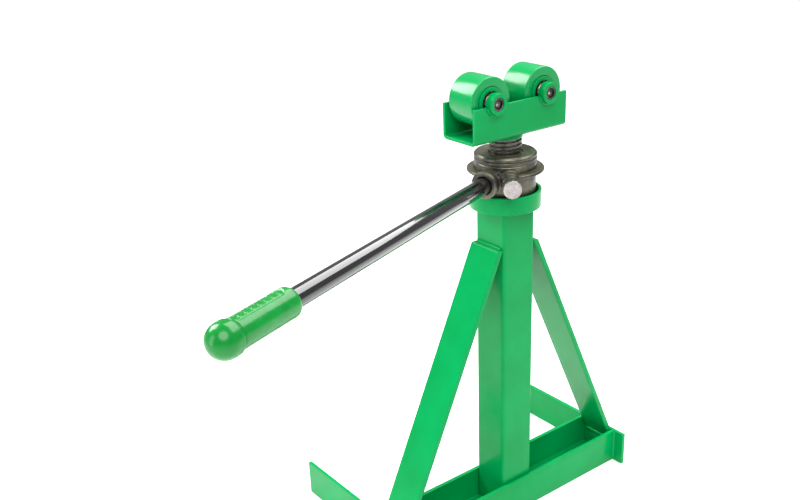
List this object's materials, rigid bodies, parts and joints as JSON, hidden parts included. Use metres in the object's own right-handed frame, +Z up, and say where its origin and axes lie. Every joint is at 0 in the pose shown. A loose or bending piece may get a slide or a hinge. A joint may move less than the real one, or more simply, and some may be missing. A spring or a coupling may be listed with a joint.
{
  "type": "cable reel jack stand",
  "caption": "Ratcheting screw jack stand with a square post on a braced channel base and a roller yoke that cradles a cable reel's spindle.",
  "frame": {"origin": "on the post's axis, on the floor under the base channel", "axes": "+Z up along the screw; +X along the base channel, from the left to the right crossbar; +Y towards the crossbars' long ends"},
  "size_m": [0.8439, 0.4802, 0.7405],
  "materials": {
    "green_enamel": "gloss enamel",
    "black_tube": "high-gloss black",
    "black_casting": "oiled black oxide",
    "oiled_steel": "oiled, dark",
    "green_grip": "gloss vinyl",
    "dark_axle_steel": "blackened steel",
    "bright_steel": "turned"
  },
  "bodies": {
    "base": {"base_channel": "green_enamel", "post": "green_enamel", "left_brace": "green_enamel", "right_brace": "green_enamel", "left_crossbar": "green_enamel", "right_crossbar": "green_enamel", "base_welds": "green_enamel", "post_welds": "green_enamel", "collar_ring": "green_enamel", "collar_plate": "green_enamel", "thrust_washer_lower": "bright_steel", "thrust_balls": "bright_steel"},
    "nut": {"thrust_washer_upper": "bright_steel", "lift_nut": "black_casting", "nut_cap": "black_casting", "ratchet_wheel": "oiled_steel", "wheel_key": "bright_steel", "wheel_spacer": "bright_steel", "retaining_ring": "bright_steel"},
    "housing": {"ratchet_housing": "black_casting", "handle_bar": "black_tube", "handle_grip": "green_grip", "handle_lock_screw": "bright_steel", "pawl_barrel_cap": "black_casting"},
    "pawl_slide": {"spring_washer": "bright_steel", "pawl_spring": "bright_steel"},
    "pawl": {"pawl_plunger": "bright_steel", "pawl_knob": "bright_steel", "knob_pin": "bright_steel"},
    "lift_head": {"lift_screw": "oiled_steel", "stop_block": "bright_steel", "stop_bolt": "bright_steel", "yoke_hub": "green_enamel", "yoke": "green_enamel", "left_front_boss": "green_enamel", "left_back_boss": "green_enamel", "right_front_boss": "green_enamel", "right_back_boss": "green_enamel", "left_axle": "dark_axle_steel", "left_snap_rings": "dark_axle_steel", "left_roller_spacers": "bright_steel", "left_roller_inner_races": "bright_steel", "right_axle": "dark_axle_steel", "right_snap_rings": "dark_axle_steel", "right_roller_spacers": "bright_steel", "right_roller_inner_races": "bright_steel"},
    "left_roller": {"left_roller_shell": "green_enamel", "left_roller_bearing_cups": "green_enamel", "left_roller_balls": "bright_steel"},
    "right_roller": {"right_roller_shell": "green_enamel", "right_roller_bearing_cups": "green_enamel", "right_roller_balls": "bright_steel"}
  },
  "joints": [
    {"name": "nut_turn", "type": "hinge", "parent": "base", "child": "nut", "pos_m": [0, 0, 0.5554], "axis": [0, 0, 1], "range_deg": [-21600, 0]},
    {"name": "screw_lift", "type": "slide", "parent": "base", "child": "lift_head", "axis": [0, 0, 1], "range_m": [0, 0.38101]},
    {"name": "handle_play", "type": "hinge", "parent": "nut", "child": "housing", "pos_m": [0, 0, 0.58], "axis": [0, 0, 1], "range_deg": [-2.5, 2.5]},
    {"name": "pawl_pull", "type": "slide", "parent": "housing", "child": "pawl_slide", "axis": [-0.5878, -0.809, 0], "range_m": [0, 0.007], "stiffness_N_per_m": 2500, "springref_m": -0.004, "deforming": ["pawl_spring"]},
    {"name": "pawl_turn", "type": "hinge", "parent": "pawl_slide", "child": "pawl", "pos_m": [-0.03527, -0.04854, 0.5888], "axis": [-0.5878, -0.809, 0], "range_deg": [0, 180]},
    {"name": "left_roller_spin", "type": "hinge", "parent": "lift_head", "child": "left_roller", "pos_m": [-0.0506, 0, 0.7044], "axis": [0, 1, 0], "continuous": true},
    {"name": "right_roller_spin", "type": "hinge", "parent": "lift_head", "child": "right_roller", "pos_m": [0.0506, 0, 0.7044], "axis": [0, 1, 0], "continuous": true}
  ],
  "couplings": [
    {"joint": "screw_lift", "follows": "nut_turn", "m_per_rad": -0.0010106}
  ]
}
